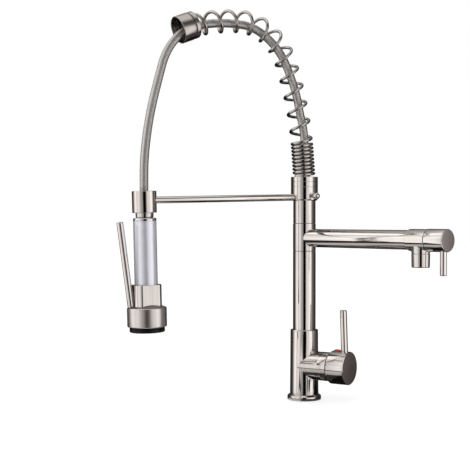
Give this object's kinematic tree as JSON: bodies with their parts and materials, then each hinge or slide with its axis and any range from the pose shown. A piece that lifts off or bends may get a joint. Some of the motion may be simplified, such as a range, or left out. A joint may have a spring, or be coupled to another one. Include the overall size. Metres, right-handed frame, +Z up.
{
  "type": "pull-out kitchen faucet",
  "caption": "Pull-out kitchen faucet with spring arch, braided hose, docked spray head with press lever, side mixing handle and a swinging pot-filler arm with its own valve.",
  "frame": {"origin": "on the column's axis, at the deck face that the base flange stands on", "axes": "+Z up along the column, -X from the column toward the docked spray head in the plane of the arch, +Y to the side away from the camera"},
  "size_m": [0.3161, 0.2316, 0.4711],
  "materials": {
    "nickel": "vertically brushed warm nickel",
    "nickel_end": "circular brushed nickel, darker end faces",
    "spring_wire": "bright drawn wire",
    "trim": "polished bright trim",
    "handle": "matte silver grip with a faint violet cast",
    "face_rubber": "matt black rubber spray plate",
    "seal": "black sealing rubber",
    "dark_polymer": "dark moulded polymer",
    "cartridge": "white moulded cartridge shell",
    "brass": "plain machined brass",
    "hidden_steel": "plain turned stainless steel",
    "hose_braid": "rubber hose under a braided stainless sleeve",
    "water_line": "white inner water tube",
    "indicator_red": "red half of the indicator",
    "indicator_blue": "blue half of the indicator"
  },
  "bodies": {
    "base": {"base_flange": "nickel", "base_gasket": "seal", "base_body": "nickel", "mixing_cartridge": "cartridge", "housing_ring": "nickel", "cartridge_nut": "brass", "lower_riser": "nickel", "swivel_spindle": "brass", "swivel_seals": "seal", "swivel_washers": "dark_polymer", "upper_riser": "nickel"},
    "mixer_carrier": {"cartridge_carrier": "cartridge", "stem_pin": "hidden_steel"},
    "mixer_handle": {"cartridge_stem": "brass", "mixer_cap": "nickel", "cap_screw": "hidden_steel", "mixer_pin": "nickel", "indicator_cold": "indicator_blue", "indicator_hot": "indicator_red"},
    "pot_arm": {"swivel_tee": "nickel", "pot_tube": "nickel", "pot_valve_body": "nickel", "pot_headwork": "brass", "pot_trim_ring": "trim", "aerator_housing": "nickel", "aerator_insert": "dark_polymer"},
    "pot_handle": {"pot_stem": "brass", "pot_cap": "nickel", "pot_pin": "nickel"},
    "dock_arm": {"dock_collar": "nickel", "dock_rod": "nickel", "dock_ring": "nickel", "dock_liner": "dark_polymer", "hose_adapter": "brass", "adapter_seal": "seal", "hose_ferrule": "hidden_steel", "arch_spring": "spring_wire", "spring_cup": "nickel", "hose_guide": "dark_polymer", "spring_retainer": "nickel", "hose_inner": "hose_braid", "hose_free": "hose_braid"},
    "clamp": {"clamp_screw": "nickel"},
    "hose_tail": {"hose_nut": "hidden_steel"},
    "spray_head": {"spray_neck": "nickel", "handle_trim": "trim", "water_tube": "water_line", "spray_handle": "handle", "valve_block": "nickel", "lever_pin": "hidden_steel", "spray_bell": "nickel", "spray_face": "face_rubber"},
    "spray_lever_body": {"spray_lever": "nickel", "lever_foot": "nickel"},
    "spray_plunger": {"valve_plunger": "hidden_steel"}
  },
  "joints": [
    {"name": "mixer_temperature", "type": "hinge", "parent": "base", "child": "mixer_carrier", "pos_m": [0, 0, 0.0422], "axis": [0.4787, -0.878, 0], "range_deg": [-45, 45]},
    {"name": "mixer_flow", "type": "hinge", "parent": "mixer_carrier", "child": "mixer_handle", "pos_m": [0.0112, -0.02055, 0.0422], "axis": [0.878, 0.4787, 0], "range_deg": [0, 15]},
    {"name": "pot_swivel", "type": "hinge", "parent": "base", "child": "pot_arm", "pos_m": [0, 0, 0.199], "axis": [0, 0, 1], "range_deg": [-30, 170]},
    {"name": "pot_valve", "type": "hinge", "parent": "pot_arm", "child": "pot_handle", "pos_m": [0, 0, 0.199], "axis": [0.2588, -0.9659, 0], "range_deg": [0, 90]},
    {"name": "dock_swivel", "type": "hinge", "parent": "base", "child": "dock_arm", "pos_m": [0, 0, 0.26], "axis": [0, 0, 1], "range_deg": [-40, 40]},
    {"name": "clamp_turn", "type": "hinge", "parent": "dock_arm", "child": "clamp", "pos_m": [0, 0, 0.2504], "axis": [0.0872, -0.9962, 0], "range_deg": [-180, 180]},
    {"name": "spray_pull", "type": "slide", "parent": "dock_arm", "child": "hose_tail", "axis": [0.0244, 0, -0.9997], "range_m": [0, 0.15], "deforming": ["hose_free"]},
    {"name": "spray_spin", "type": "hinge", "parent": "hose_tail", "child": "spray_head", "pos_m": [-0.215, 0, 0.242], "axis": [-0.0244, 0, 0.9997], "range_deg": [-180, 180]},
    {"name": "lever_press", "type": "hinge", "parent": "spray_head", "child": "spray_lever_body", "pos_m": [-0.22195, 0, 0.1254], "axis": [0, 1, 0], "range_deg": [0, 6], "stiffness_Nm_per_rad": 2, "springref_deg": -8.59},
    {"name": "plunger_slide", "type": "slide", "parent": "spray_head", "child": "spray_plunger", "axis": [0.0244, 0, -0.9997], "range_m": [0, 0.0006]}
  ],
  "couplings": [
    {"joint": "plunger_slide", "follows": "lever_press", "m_per_rad": 0.0056}
  ]
}
